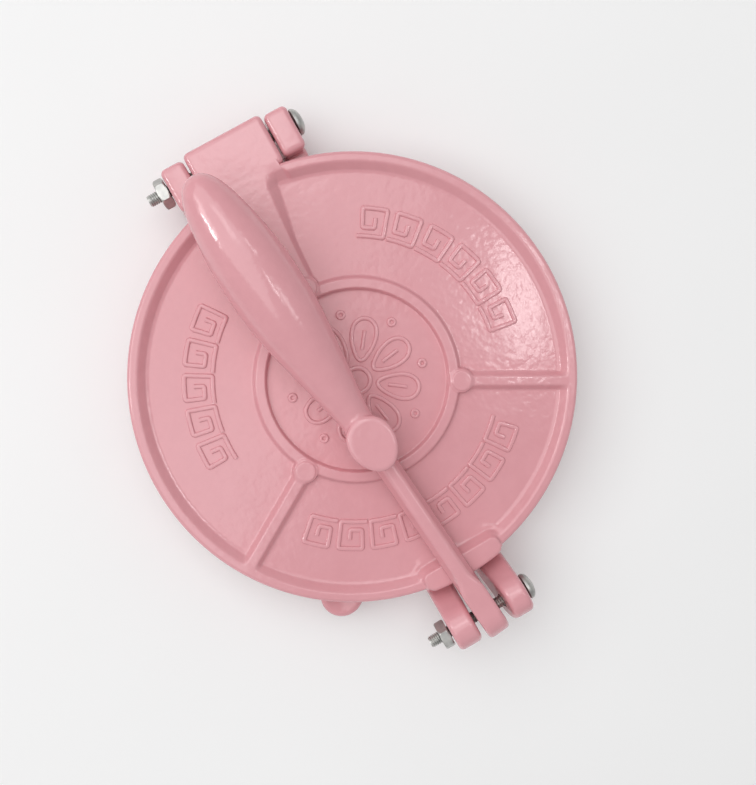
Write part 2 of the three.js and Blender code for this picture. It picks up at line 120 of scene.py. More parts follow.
PETAL_POINTS, PETAL_RIDGE = 48, RIDGE_HALF * 0.9
VEIN_ENDS, VEIN_POINTS, VEIN_RIDGE = (7.2, 11.6), 6, RIDGE_HALF * 0.8
BEAD_CIRCLE, BEAD_TURN, BEAD_RADIUS, BEAD_POINTS, BEAD_RIDGE = 15.6, 30.5, 0.75, 20, 0.4
ROSETTE_EYE, ROSETTE_EYE_POINTS = 2.9, 48

# The plates' hinge: its block on the top plate and its two ears on the base
HINGE_Y, HINGE_Z, HINGE_END, BLOCK_LOW = 58.5, 12.6, 63.3, 7.8
BLOCK_HALF, BLOCK_CORNER, BLOCK_EDGE = 9.8, 1.5, 1.2
BLOCK_NECK, BLOCK_FRONT = HINGE_Y - 4.8, TONGUE_END - 5.6
HINGE_EAR = (10.3, 16.0)
HINGE_EAR_FOOT, HINGE_EAR_FRONT, HINGE_EAR_END, HINGE_EAR_TOP = 46, 52.2, 62.6, 16.9
HINGE_EAR_BEVEL = 1.4
HINGE_EAR_RADII = (0.6, 1.5, 1.5, 1.5, 1.5, 0.6, 0.6)
EAR_EDGE = 1.2

# The lever's hinge: its two ears on the base lean apart upwards on their inner sides
LEVER_Y, LEVER_Z = -62.8, 17.2
LEVER_EAR = (3.95, 10.2)
LEVER_EAR_RADIUS, LEVER_EAR_POINTS = 5.4, 72
LEVER_EAR_FOOT = ((-53.6, BASE_TOP), (-56, BASE_BOTTOM), (-53.6, BASE_BOTTOM))
EAR_DRAFT, EAR_DRAFT_LEVEL, EAR_DRAFT_RUN = {-1: 0.04, 1: 0.14}, LEVER_Z - 2.2, 1.9

# The lever, along its own length from its hinge axis
SKEW, SKEW_SHIFT = 4.8, 0.35
KNUCKLE_RADIUS, KNUCKLE_HALF, KNUCKLE_EDGE = 6.2, 2.85, 1.1
KNUCKLE_BORE, KNUCKLE_BORE_HALF, KNUCKLE_BORE_POINTS = 2.0, 5, 40
FLARE = (7.0, 12.6)
ARM_BOTTOM, ARM_TOP = 18.8, 23.4
ARM_TOP_HALF, ARM_FOOT_HALF, ARM_EDGE, ARM_DRAFT = 1.45, 3.05, 0.7, 0.94
BOSS_PLACE, BOSS_HALF, BOSS_LENGTH, BOSS_WIDENING = 50.1, 5.4, 6.6, 0.1
BOSS_BOTTOM, BOSS_TOP, BOSS_EDGE, BOSS_TAPER, BOSS_REACH = 16.9, 28.8, 0.85, 0.55, 5.8
GRIP_START, GRIP_END, GRIP_RADIUS = 52.0, 119.1, 8.2
GRIP_RISE, GRIP_PITCH, GRIP_FLAT = 24.05, 5.2, 0.92
BOSS_BLEND, GRIP_BLEND = 0.7, 0.9
GRIP_SHARES = (
    (0, 0.42), (0.089, 0.475), (0.164, 0.573), (0.24, 0.675), (0.314, 0.774), (0.39, 0.877),
    (0.4635, 0.955), (0.54, 0.995), (0.6, 1), (0.68, 0.98), (0.763, 0.915), (0.838, 0.81),
    (0.912, 0.665), (0.957, 0.512), (0.98, 0.37), (0.994, 0.2), (1, 0.02),
)
GRIP_TABLE_POINTS, GRIP_TABLE_CROWDING = 400, 1.6

# How fine the lever's skin is, and how it is drawn smooth
SKIN_LOW, SKIN_HIGH = (-10.1, -7.6, 9.5), (10.1, 120.6, 37.3)
SKIN_PITCH, SKIN_PITCH_QUICK = 0.42, 0.8
SMOOTHING, SMOOTHING_STEPS, LAYING_STEPS = 0.6, 6, 10
SLOPE_STEP, SLOPE_LEAST, LAYING_MOST = 0.02, 0.05, 0.5

# Screws and nuts
SCREW_RADIUS, BORE_CLEARANCE, BORE_OVERRUN, BORE_POINTS = 1.45, 0.3, 2, 32
THREAD_PITCH, THREAD_DEPTH, THREAD_POINTS, THREAD_STEPS = 0.5, 0.2, 32, 8
THREAD_LEAD, THREAD_LEAD_DEPTH, THREAD_IN_HEAD = 0.5, 0.3, 0.3
HEAD_RADIUS, HEAD_HEIGHT, HEAD_RIM, HEAD_POINTS, DOME_STEPS = 3.2, 2.1, 0.5, 56, 12
HEAD_FOOT, HEAD_FOOT_RISE, HEAD_CROWN = 0.25, 0.2, 0.02
SLOT_WIDTH, SLOT_DEPTH, SLOT_HALF, SLOT_OVERRUN = 0.8, 0.9, 4, 1
NUT_ACROSS, NUT_HEIGHT, NUT_CHAMFER, NUT_CONE = 6.2, 2.4, 0.5, 30
NUT_STEPS, NUT_TURN_STEP, NUT_TURN = 12, 5.0, 90
NUT_BORE, NUT_BORE_CHAMFER, NUT_BORE_CHAMFER_DEPTH = SCREW_RADIUS + 0.02, 0.25, 0.3
SEAT_GAP, STUB = 0.3, 2.7

plate_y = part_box("top_plate")[1].y / MM - HINGE_END


# The camera, a little over 200 mm above the press

CAMERA_PLACE = (-10.05, 19.31, 208.87 + RIM_TOP)
CAMERA_AIM = (2.61, -4.62, RIM_TOP)
CAMERA_UP = 60.8
CAMERA_LENS, CAMERA_SENSOR = 43.36, 36
CAMERA_CLIP = (0.01, 10)


def place_camera():
    data = bpy.data.cameras.new("camera")
    data.sensor_fit = "HORIZONTAL"
    data.sensor_width = CAMERA_SENSOR
    data.lens = CAMERA_LENS
    data.clip_start, data.clip_end = CAMERA_CLIP
    camera = bpy.data.objects.new("camera", data)
    bpy.context.scene.collection.objects.link(camera)
    shift = Vector((0, plate_y, 0))
    place = (Vector(CAMERA_PLACE) + shift) * MM
    look = ((Vector(CAMERA_AIM) + shift) * MM - place).normalized()
    turn = math.radians(CAMERA_UP)
    right = look.cross(Vector((math.cos(turn), math.sin(turn), 0))).normalized()
    up = right.cross(look)
    turned = Matrix((right, up, -look)).transposed().to_4x4()
    camera.matrix_world = Matrix.Translation(place) @ turned
    bpy.context.scene.camera = camera


place_camera()


# Materials

class Value:
    """A socket of a finish, so that sums on it are written as sums."""

    def __init__(self, finish, socket):
        self.finish = finish
        self.socket = socket

    def _math(self, operation, first, second):
        return self.finish.node("ShaderNodeMath", {"operation": operation}, {0: first, 1: second})

    def __add__(self, other):
        return self._math("ADD", self, other)

    def __mul__(self, other):
        return self._math("MULTIPLY", self, other)

    def __lt__(self, other):
        return self._math("LESS_THAN", self, other)

    def __gt__(self, other):
        return self._math("GREATER_THAN", self, other)

    __radd__ = __add__
    __rmul__ = __mul__


class Finish:
    """One material: its uniform values, and the nodes that vary over the surface."""

    def __init__(self, name, **uniform):
        self.material = bpy.data.materials.new(name)
        self.material.use_nodes = True
        self.nodes = self.material.node_tree.nodes
        self.links = self.material.node_tree.links
        self.shader = self.nodes["Principled BSDF"]
        self.use(**uniform)
        self.place = self.node("ShaderNodeTexCoord", output="Object")

    def feed(self, socket, value):
        if isinstance(value, Value):
            self.links.new(value.socket, socket)
        else:
            socket.default_value = value

    def node(self, kind, settings=None, inputs=None, output=0):
        made = self.nodes.new(kind)
        for key, value in (settings or {}).items():
            setattr(made, key, value)
        for key, value in (inputs or {}).items():
            self.feed(made.inputs[key], value)
        return Value(self, made.outputs[output])

    def noise(self, per_mm, detail, roughness=0.5):
        return self.node("ShaderNodeTexNoise", None, {
            "Vector": self.place, "Scale": per_mm / MM, "Detail": detail, "Roughness": roughness,
        }, "Fac")

    def between(self, factor, first, second):
        return self.node(
            "ShaderNodeMix", {"data_type": "RGBA"}, {0: factor, 6: first, 7: second}, 2)

    def spread(self, value, low, high):
        """A value drawn out, so that it goes from 0 to 1 between low and high."""
        return self.node("ShaderNodeMapRange", {"clamp": True}, {
            "Value": value, "From Min": low, "From Max": high})

    def bumped(self, height, depth_mm):
        return self.node("ShaderNodeBump", None, {
            "Height": height, "Distance": depth_mm * MM, "Strength": 1.0})

    def use(self, **values):
        for key, value in values.items():
            self.feed(self.shader.inputs[key.replace("_", " ")], value)
        return self.material


def colour(red, green, blue):
    """A colour given as it looks on a screen, from 0 to 255."""
    def linear(part):
        part = part / 255
        return part / 12.92 if part <= 0.04045 else ((part + 0.055) / 1.055) ** 2.4
    return (linear(red), linear(green), linear(blue), 1.0)


TONE_RANGE, FINE_RANGE, FINE_SHARE = (0.3, 0.7), (0.35, 0.65), 0.25
PAINT_LIGHT, PAINT_DEEP = colour(226, 163, 170), colour(219, 154, 161)
PAINT_ROUGHNESS, PEEL_ROUGHNESS = 0.12, 0.06
PAINT_COAT, FINE_COAT = 0.12, 0.1
PEEL_DEPTH, BROAD_PEEL = 0.06, 1.6
SPECK_COLOUR, SPECK_CELLS_PER_MM, SPECK_RADIUS, SPECK_PICK = colour(90, 52, 58), 0.11, 0.017, 0.86
ZINC_LIGHT, ZINC_DEEP = colour(202, 201, 197), colour(168, 168, 166)
ZINC_ROUGHNESS, GRAIN_ROUGHNESS, GRAIN_DEPTH = 0.36, 0.2, 0.01
PAPER_LIGHT, PAPER_DEEP = (0.95, 0.95, 0.95, 1), (0.93, 0.93, 0.93, 1)


def pink_paint(name):
    """Satin sprayed paint: slow changes of tone, orange peel, and a dark speck here and there."""
    paint = Finish(name, Coat_Roughness=0.06, Specular_IOR_Level=0.5)
    tone = paint.spread(paint.noise(per_mm=0.022, detail=3.0), *TONE_RANGE)
    fine = paint.spread(paint.noise(per_mm=0.35, detail=2.0), *FINE_RANGE)
    base = paint.between(
        tone * (1 - FINE_SHARE) + fine * FINE_SHARE, PAINT_LIGHT, PAINT_DEEP)
    from_cell, cell_lot = (
        paint.node("ShaderNodeTexVoronoi", None,
                   {"Vector": paint.place, "Scale": SPECK_CELLS_PER_MM / MM}, output)
        for output in ("Distance", "Color"))
    picked = paint.node("ShaderNodeSeparateColor", None, {0: cell_lot}) > SPECK_PICK
    speck = (from_cell < SPECK_RADIUS) * picked
    peel = paint.noise(per_mm=0.65, detail=1.2)
    broad = paint.noise(per_mm=0.12, detail=1.0)
    return paint.use(
        Base_Color=paint.between(speck, base, SPECK_COLOUR),
        Roughness=PAINT_ROUGHNESS + PEEL_ROUGHNESS * peel,
        Coat_Weight=PAINT_COAT + FINE_COAT * fine,
        Normal=paint.bumped(peel + BROAD_PEEL * broad, PEEL_DEPTH),
    )


def zinc_plate(name):
    """Bright zinc on steel: brushed, a little cloudy."""
    zinc = Finish(name, Metallic=1.0)
    cloud = zinc.spread(zinc.noise(per_mm=0.5, detail=3.0), *TONE_RANGE)
    grain = zinc.noise(per_mm=3.0, detail=3.0, roughness=0.6)
    return zinc.use(
        Base_Color=zinc.between(cloud, ZINC_LIGHT, ZINC_DEEP),
        Roughness=ZINC_ROUGHNESS + GRAIN_ROUGHNESS * grain,
        Normal=zinc.bumped(grain, GRAIN_DEPTH),
    )


def floor_paper(name):
    """Plain white paper, a little uneven in tone."""
    paper = Finish(name, Roughness=0.9, Specular_IOR_Level=0.1)
    tone = paper.spread(paper.noise(per_mm=0.01, detail=2.0), *TONE_RANGE)
    return paper.use(Base_Color=paper.between(tone, PAPER_DEEP, PAPER_LIGHT))


paint_material = pink_paint("pink_paint")
zinc_material = zinc_plate("zinc_plate")


# Shapes

CORNER_STEPS, CORNER_SETBACK_SHARE, CORNER_LEAST = 6, 0.45, 0.08
INSET_LEAST_SHARE, ACROSS_LEAST_SHARE, NO_LENGTH = 0.3, 0.5, 1e-9
SLAB_EDGE_STEPS = 5
POINT_RADIUS = 1e-3
SHARP_ANGLE = 48


def circle(centre, radius, steps):
    turn = np.radians(np.linspace(0, 360, steps + 1))[:-1]
    return np.column_stack((centre[0] + radius * np.cos(turn), centre[1] + radius * np.sin(turn)))


def polar(radius, degrees):
    turn = math.radians(degrees)
    return radius * math.cos(turn), radius * math.sin(turn)


def bow(start, corner, end, t):
    """The point at t on the curve that leaves start and reaches end towards a corner."""
    return (1 - t) ** 2 * start + 2 * t * (1 - t) * corner + t ** 2 * end


def rounded(corners, radius):
    """A polygon, given anticlockwise, with its corners rounded by one radius or by one each."""
    corners = np.asarray(corners, float)
    radii = np.broadcast_to(radius, len(corners))
    befores, afters = np.roll(corners, 1, 0), np.roll(corners, -1, 0)
    points = []
    for before, corner, after, size in zip(befores, corners, afters, radii):
        sides = [before - corner, after - corner]
        setback = min(size, *(CORNER_SETBACK_SHARE * np.linalg.norm(side) for side in sides))
        start, end = (corner + side * setback / np.linalg.norm(side) for side in sides)
        points += [bow(start, corner, end, t) for t in np.linspace(0, 1, CORNER_STEPS + 1)]
    return np.array(points)


def hull(points):
    """The outline of a band pulled round points, anticlockwise."""
    order = convex_hull_2d([tuple(point) for point in points])
    outline = np.array([points[i] for i in order])
    x, y = outline.T
    turns = np.sum(x * np.roll(y, -1) - y * np.roll(x, -1))
    return outline if turns > 0 else outline[::-1]


def inset(outline, distance):
    """An anticlockwise outline moved inwards."""
    def left(along):
        along = along / np.maximum(np.linalg.norm(along, axis=1, keepdims=True), NO_LENGTH)
        return np.column_stack((-along[:, 1], along[:, 0]))
    first = left(outline - np.roll(outline, 1, 0))
    second = left(np.roll(outline, -1, 0) - outline)
    share = 1 + np.sum(first * second, axis=1, keepdims=True)
    return outline + (first + second) * distance / np.maximum(share, INSET_LEAST_SHARE)


def moved_in(corners, radius):
    """A rounded polygon as a function of how far it is moved inwards. Its corners get sharper
    on the way, so it never folds."""
    corners, radius = np.asarray(corners, float), np.asarray(radius)
    return lambda distance: rounded(
        inset(corners, distance), np.maximum(radius - distance, CORNER_LEAST))


def ramp(t, soft=0.3):
    """0 to 1 as t goes from 0 to 1, straight but for its rounded ends."""
    t = np.clip(t, 0, 1)
    ends = 2 * soft * (1 - soft)
    middle = (t - soft / 2) / (1 - soft)
    last = 1 - (1 - t) ** 2 / ends
    return np.where(t < soft, t ** 2 / ends, np.where(t > 1 - soft, last, middle))


def upward(outline, level):
    return np.column_stack((outline, np.full(len(outline), level)))


def along_x(outline, level):
    return np.column_stack((np.full(len(outline), level), outline))


class Casting:
    """The points and faces of one piece while it is made."""

    def __init__(self):
        self.points = []
        self.faces = []
        self.count = 0

    def add(self, points, faces):
        self.points.append(np.asarray(points, float))
        self.faces += [[self.count + i for i in face] for face in faces]
        self.count += len(points)

    def rings(self, rings, caps=True):
        """A skin through rings of as many points each, from a low end to a high one."""
        size = len(rings[0])
        faces = [[row * size + i, row * size + (i + 1) % size,
                  (row + 1) * size + (i + 1) % size, (row + 1) * size + i]
                 for row in range(len(rings) - 1) for i in range(size)]
        if caps:
            faces.append(list(range(size))[::-1])
            faces.append([(len(rings) - 1) * size + i for i in range(size)])
        self.add(np.concatenate(rings), faces)

    def slab(self, outline, low, high, edge, place):
        """An outline, as a function of how far it is moved in, carried from low to high with
        the edges of both ends rounded."""
        turns = np.linspace(0, math.pi / 2, SLAB_EDGE_STEPS + 1)
        rings = []
        for end, sign, order in ((low, 1, turns), (high, -1, turns[::-1])):
            for turn in order:
                level = end + sign * edge * (1 - math.cos(turn))
                rings.append(place(outline(edge * (1 - math.sin(turn))), level))
        self.rings(rings)

    def turned(self, profile, segments, place):
        """A body of (radius, height) points, from axis to axis, turned round its axis."""
        self.rings([place(circle((0, 0), max(radius, POINT_RADIUS), segments), height)
                    for radius, height in profile])

    def upright(self, profile, segments, place):
        """A body turned round an upright axis at a place in plan."""
        self.turned(profile, segments, lambda ring, level: upward(ring + place, level))

    def object(self, name):
        """The casting as an object, with its faces turned outwards."""
        mesh = bpy.data.meshes.new(name)
        points = (np.concatenate(self.points) + (0, plate_y, 0)) * MM
        mesh.from_pydata(points.tolist(), [], self.faces)
        work = bmesh.new()
        work.from_mesh(mesh)
        bmesh.ops.recalc_face_normals(work, faces=work.faces)
        work.to_mesh(mesh)
        work.free()
        made = bpy.data.objects.new(name, mesh)
        bpy.context.scene.collection.objects.link(made)
        return made

    def piece(self, name, body, material, slot, *nodes, cut=()):
        """The casting as a finished piece that rides on a body, in the place of nodes."""
        made = self.object(name)
        for cutter in cut:
            cut_from(made, cutter.object("cutter"))
        made.data.materials.clear()
        made.data.materials.append(material)
        made.data.shade_smooth()
        made.data.set_sharp_from_angle(angle=math.radians(SHARP_ANGLE))
        weighted = made.modifiers.new("even_shading", "WEIGHTED_NORMAL")
        weighted.keep_sharp = True
        if nodes:
            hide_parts(*nodes)
        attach(made, body)


def cut_from(made, tool):
    """Takes a closed shape out of a piece."""
    cut = made.modifiers.new("cut", "BOOLEAN")
    cut.operation = "DIFFERENCE"
    cut.solver = "EXACT"
    cut.use_self = True
    cut.object = tool
    bpy.context.view_layer.update()
    evaluated = made.evaluated_get(bpy.context.evaluated_depsgraph_get())
    result = bpy.data.meshes.new_from_object(evaluated)
    made.modifiers.clear()
    made.data = result
    bpy.data.objects.remove(tool)


def screw_bore(y, z, low, high):
    """What a screw's bore takes out of a piece that lies between two levels along X."""
    hole = circle((y, z), SCREW_RADIUS + BORE_CLEARANCE, BORE_POINTS)
    bore = Casting()
    bore.rings([along_x(hole, level) for level in (low - BORE_OVERRUN, high + BORE_OVERRUN)])
    return bore


# The plates

def union(forms):
    """The height share of raised forms that run into each other with rounded corners."""
    low = 1.0
    for form in forms:
        low = low * (1 - form)
    return 1 - low


def bar_form(x, y, angle, places, crown, foot, soft=0.2):
    """A raised bar from the middle outwards, with its half-widths at the crown and the foot."""
    c, s = polar(1, angle)
    along, across = x * c + y * s, np.abs(y * c - x * s)
    crown_half = np.interp(along, places, crown)
    foot_half = np.interp(along, places, foot)
    side = (across - crown_half) / (foot_half - crown_half)
    return 1 - ramp(np.maximum(side, RING_RADIUS - along), soft)


def pad_distance(x, y, front=PAD_FRONT):
    """How far a point in plan lies outside the pad, whose front follows the plate's round."""
    past_side = np.abs(x + PAD_TURN * y) - PAD_HALF + PAD_CORNER
    past_end = np.maximum(PAD_BACK + y, np.hypot(x, y) - front) + PAD_CORNER
    outside = np.hypot(np.maximum(past_side, 0), np.maximum(past_end, 0))
    return outside + np.minimum(np.maximum(past_side, past_end), 0) - PAD_CORNER


def top_height(x, y):
    """The upper face of the top plate."""
    r = np.hypot(x, y)
    rim_crown = RIM_CROWN + RIM_CORNER * ramp(BLOCK_HALF - RIM_CORNER_GAP - np.abs(x)) * (y > 0)
    rim_side = ramp((rim_crown - r) / (RIM_WALL + rim_crown - RIM_CROWN), RIM_SOFT)
    rim_fall = np.minimum(RIM_STEEP * rim_side, RIM_BEND + (1 - RIM_BEND) * rim_side)
    ring_side = np.maximum((RING_CROWN[0] - r) / RING_WALLS[0], (r - RING_CROWN[1]) / RING_WALLS[1])
    forms = [1 - rim_fall, RING_SHARE * (1 - ramp(ring_side, RING_SOFT))]
    rib = (RING_RADIUS, RIM_CROWN), (RIB_HALF,) * 2, (RIB_HALF + RIB_WALL,) * 2
    forms += [RIB_SHARE * bar_form(x, y, angle, *rib, RIB_SOFT) for angle in RIB_ANGLES]
    forms.append(bar_form(x, y, WEDGE_ANGLE, WEDGE_PLACES, WEDGE_CROWN, WEDGE_FOOT))
    knob_rise = 0
    for angle in (WEDGE_ANGLE, *RIB_ANGLES):
        knob_x, knob_y = polar(KNOB_CIRCLE, angle)
        past_knob = np.hypot(x - knob_x, y - knob_y) - KNOB_RADIUS
        forms.append(1 - ramp(past_knob / KNOB_WALL))
        crown = 1 - ramp((past_knob + KNOB_EDGE) / KNOB_EDGE, KNOB_SOFT)
        knob_rise = knob_rise + KNOB_RISE * crown
    from_pad = pad_distance(x, y, PAD_FRONT + PAD_WALL_OPEN)
    forms.append(1 - ramp((from_pad - PAD_WALL_START) / PAD_WALL))
    forms.append(PAD_STEP_SHARE * (1 - ramp((from_pad - PAD_STEP_START) / PAD_STEP)))
    pad_side = (pad_distance(x, y, PAD_FRONT + PAD_LIP) + PAD_EDGE / 2) / PAD_EDGE
    pad = 1 - ramp(pad_side, PAD_SOFT)
    return RIM_TOP - FIELD_DEPTH * (1 - union(forms)) + knob_rise + PAD_RISE * pad


def under_height(x, y):
    """The under face of the base plate."""
    r = np.hypot(x, y)
    ring_side = np.maximum(r - UNDER_RING[1], UNDER_RING[0] - r) / UNDER_WALL
    forms = [1 - ramp((UNDER_RIM - r) / UNDER_WALL), 1 - ramp(ring_side)]
    rib = (UNDER_RING[0], UNDER_RIM), (UNDER_RIB_HALF,) * 2, (UNDER_RIB_HALF + UNDER_WALL,) * 2
    forms += [bar_form(x, y, angle, *rib) for angle in QUARTERS]
    return BASE_BOTTOM + UNDER_DEPTH * (1 - union(forms))


def flat_height(level):
    """A flat face as a function of the place in plan."""
    return lambda x, y: level + 0 * x


def plate_reach(angles, tongue):
    """How far the plate's edge lies from its middle: further at the pad and under the hinge
    block, if the plate has them."""
    steps = np.linspace(PLATE_RADIUS, REACH_LIMIT, REACH_STEPS)
    c, s = np.cos(angles)[:, None], np.sin(angles)[:, None]
    reach = np.full(len(angles), PLATE_RADIUS)
    if tongue:
        x, y = steps * c, steps * s
        on_tongue = (np.abs(x) < TONGUE_HALF) & (y > 0) & (y < TONGUE_END)
        bulge = (pad_distance(x, y) < 0) | on_tongue
        reach = np.maximum(reach, np.max(np.where(bulge, steps, 0), axis=1))
    return reach


def rows_from(table):
    return np.concatenate([np.arange(*row) for row in table])


def spokes(closer, step):
    """Angles a degree apart, and closer where the table says so."""
    near = [np.arange(middle - reach, middle + reach, step) for middle, reach in closer]
    angles = np.concatenate((np.arange(0, 360, 1.0), *near))
    return np.radians(np.unique(angles.round(4) % 360))


def plate(angles, tongue, top_rows, top, bottom_rows, bottom, low):
    """A round plate as rows of points, from the middle of its upper face over its edge to the
    middle of its under face."""
    made = Casting()
    count = len(angles)
    c, s = np.cos(angles), np.sin(angles)
    reach = plate_reach(angles, tongue)
    rows = []

    def face_row(radius, height):
        x, y = radius * c, radius * s
        rows.append(np.column_stack((x, y, height(x, y))))

    def edge_rows(turns, level, sign):
        for turn in np.radians(turns):
            radius = reach - EDGE * (1 - math.sin(turn))
            z = level + sign * EDGE * (1 - math.cos(turn))
            rows.append(np.column_stack((radius * c, radius * s, z)))

    for radius in top_rows:
        face_row(np.full(count, radius), top)
    for share in OUTER_SHARES:
        face_row(top_rows[-1] + (reach - EDGE - top_rows[-1]) * share, top)
    edge_rows(UPPER_EDGE_TURNS, rows[-1][:, 2], -1)
    edge_rows(LOWER_EDGE_TURNS, np.full(count, low), 1)
    for radius in bottom_rows:
        face_row(np.full(count, radius), bottom)
    points = np.concatenate(rows)
    faces = [[row * count + i, (row + 1) * count + i,
              (row + 1) * count + (i + 1) % count, row * count + (i + 1) % count]
             for row in range(len(rows) - 1) for i in range(count)]
    middle = len(points)
    ends = np.array([[0, 0, float(face(0.0, 0.0))] for face in (top, bottom)])
    last = (len(rows) - 1) * count
    faces += [[middle, i, (i + 1) % count] for i in range(count)]
    faces += [[middle + 1, last + (i + 1) % count, last + i] for i in range(count)]
    made.add(np.concatenate((points, ends)), faces)
    return made


def make_top_plate():
    made = plate(spokes(TOP_SPOKES, TOP_SPOKE_STEP), True, rows_from(TOP_ROWS), top_height,
                 TOP_FLAT_ROWS, flat_height(TOP_BOTTOM), TOP_BOTTOM)
    made.piece("top_plate_casting", "cover", paint_material, "pink_paint", "top_plate")


def make_hinge_block():
    """The block at the wedge's end, which turns between the hinge ears."""
    block_top = RIM_TOP + OVERLAP
    outline = moved_in((
        (BLOCK_FRONT, TOP_BOTTOM), (BLOCK_NECK, TOP_BOTTOM), (BLOCK_NECK, BLOCK_LOW),
        (HINGE_END, BLOCK_LOW), (HINGE_END, block_top), (BLOCK_FRONT, block_top),
    ), BLOCK_CORNER)
    block = Casting()
    block.slab(outline, -BLOCK_HALF, BLOCK_HALF, BLOCK_EDGE, along_x)
    bore = screw_bore(HINGE_Y, HINGE_Z, -BLOCK_HALF, BLOCK_HALF)
    block.piece("hinge_block", "cover", paint_material, "pink_paint", cut=(bore,))


# Raised ornament: running frets in the fields and a rosette in the middle

def ridge(made, path, half, closed=False):
    """A low raised line with a soft top along a path in plan."""
    path = np.asarray(path, float)
    after = np.roll(path, -1, 0) - path
    before = path - np.roll(path, 1, 0)
    if not closed:
        after[-1], before[0] = before[-1], after[0]
    after, before = (
        along / np.linalg.norm(along, axis=1, keepdims=True) for along in (after, before))
    share = 1 + np.sum(after * before, axis=1, keepdims=True)
    across = np.column_stack((-(after + before)[:, 1], (after + before)[:, 0]))
    across = across / np.maximum(share, ACROSS_LEAST_SHARE)
    out, rise = np.array(RIDGE_SECTION).T
    rings = [np.column_stack((place + np.outer(out, side) * half, ORNAMENT_LEVEL + rise))
             for place, side in zip(path, across)]
    if closed:
        made.rings([*rings, rings[0]], caps=False)
    else:
        made.rings(rings)


def bent(path, start, radius):
    """A path of (along, outwards) carried on to an arc round the plate's middle."""
    turn = math.radians(start) + path[:, 0] / radius
    reach = radius + path[:, 1]
    return np.column_stack((reach * np.cos(turn), reach * np.sin(turn)))


def softened(path, radius):
    """An open path with its corners rounded and its long sides cut into short steps."""
    points = [path[0]]
    for before, corner, after in zip(path, path[1:], path[2:]):
        start, end = (corner + (other - corner) * radius / np.linalg.norm(other - corner)
                      for other in (before, after))
        points += [bow(start, corner, end, t) for t in FRET_CORNER_PLACES]
    points.append(path[-1])
    full = [points[0]]
    for point in points[1:]:
        last = full[-1]
        steps = max(1, int(np.linalg.norm(point - last) / FRET_STRETCH))
        full += [last + (point - last) * step / steps for step in range(1, steps + 1)]
    return np.array(full)


def make_frets():
    corners = [(FRET_STEP - FRET_GAP, 0), *((FRET_STEP * x, FRET_TALL * y) for x, y in FRET_HOOK)]
    hook = softened(np.array(corners) - (0, FRET_TALL / 2), FRET_CORNER)
    frets = Casting()
    for start, count in FRET_ROWS:
        for number in range(count):
            turn = start + math.degrees(number * FRET_STEP / FRET_CIRCLE)
            ridge(frets, bent(hook, turn, FRET_CIRCLE), RIDGE_HALF)
    frets.piece("fret_ornament", "cover", paint_material, "pink_paint")


def make_rosette():
    rosette = Casting()
    t = np.linspace(0, 2 * math.pi, PETAL_POINTS + 1)[:-1]
    petal = np.column_stack((PETAL_MIDDLE - PETAL_LONG * np.cos(t),
                             PETAL_WIDE * np.sin(t) * (1 - PETAL_TAPER * np.cos(t))))
    vein = np.array([(reach, 0) for reach in np.linspace(*VEIN_ENDS, VEIN_POINTS)])
    for number in range(PETALS):
        step = 360 / PETALS * number
        c, s = polar(1, step + PETAL_TURN)
        turned = np.array(((c, s), (-s, c)))
        ridge(rosette, petal @ turned, PETAL_RIDGE, True)
        ridge(rosette, vein @ turned, VEIN_RIDGE)
        bead = circle(polar(BEAD_CIRCLE, step + BEAD_TURN), BEAD_RADIUS, BEAD_POINTS)
        ridge(rosette, bead, BEAD_RIDGE, True)
    ridge(rosette, circle((0, 0), ROSETTE_EYE, ROSETTE_EYE_POINTS), RIDGE_HALF, True)
    rosette.piece("rosette_ornament", "cover", paint_material, "pink_paint")


# The base plate with its feet, lug, web and ears

def make_base_plate():
    angles = spokes([(angle, UNDER_SPOKE_REACH) for angle in QUARTERS], UNDER_SPOKE_STEP)
    made = plate(angles, False, BASE_FLAT_ROWS, flat_height(BASE_TOP),
                 rows_from(UNDER_ROWS), under_height, BASE_BOTTOM)
    for angle in FOOT_ANGLES:
        made.upright(FOOT_PROFILE, FOOT_POINTS, polar(FOOT_CIRCLE, angle))
    made.upright(LUG_PROFILE, LUG_POINTS, polar(LUG_CIRCLE, LUG_ANGLE))
    web = moved_in(((-WEB_HALF, WEB_FRONT), (WEB_HALF, WEB_FRONT),
                    (WEB_HALF, WEB_BACK), (-WEB_HALF, WEB_BACK)), WEB_CORNER)
    made.slab(web, BASE_BOTTOM, BASE_TOP + OVERLAP, WEB_EDGE, upward)
    made.piece("base_plate_casting", "base", paint_material, "pink_paint", "base_plate")


def hinge_ear(name, side):
    """One of the two ears that hold the plate hinge's screw, with its foot on the base's rim."""
    low, high = sorted(side * reach for reach in HINGE_EAR)
    outline = moved_in((
        (HINGE_EAR_FOOT, BASE_BOTTOM), (HINGE_EAR_END - HINGE_EAR_BEVEL, BASE_BOTTOM),
        (HINGE_EAR_END, BASE_BOTTOM + HINGE_EAR_BEVEL), (HINGE_EAR_END, HINGE_EAR_TOP),
        (HINGE_EAR_FRONT, HINGE_EAR_TOP), (HINGE_EAR_FRONT, BASE_TOP), (HINGE_EAR_FOOT, BASE_TOP),
    ), HINGE_EAR_RADII)
    ear = Casting()
    ear.slab(outline, low, high, EAR_EDGE, along_x)
    bore = screw_bore(HINGE_Y, HINGE_Z, low, high)
    ear.piece(name, "base", paint_material, "pink_paint", cut=(bore,))


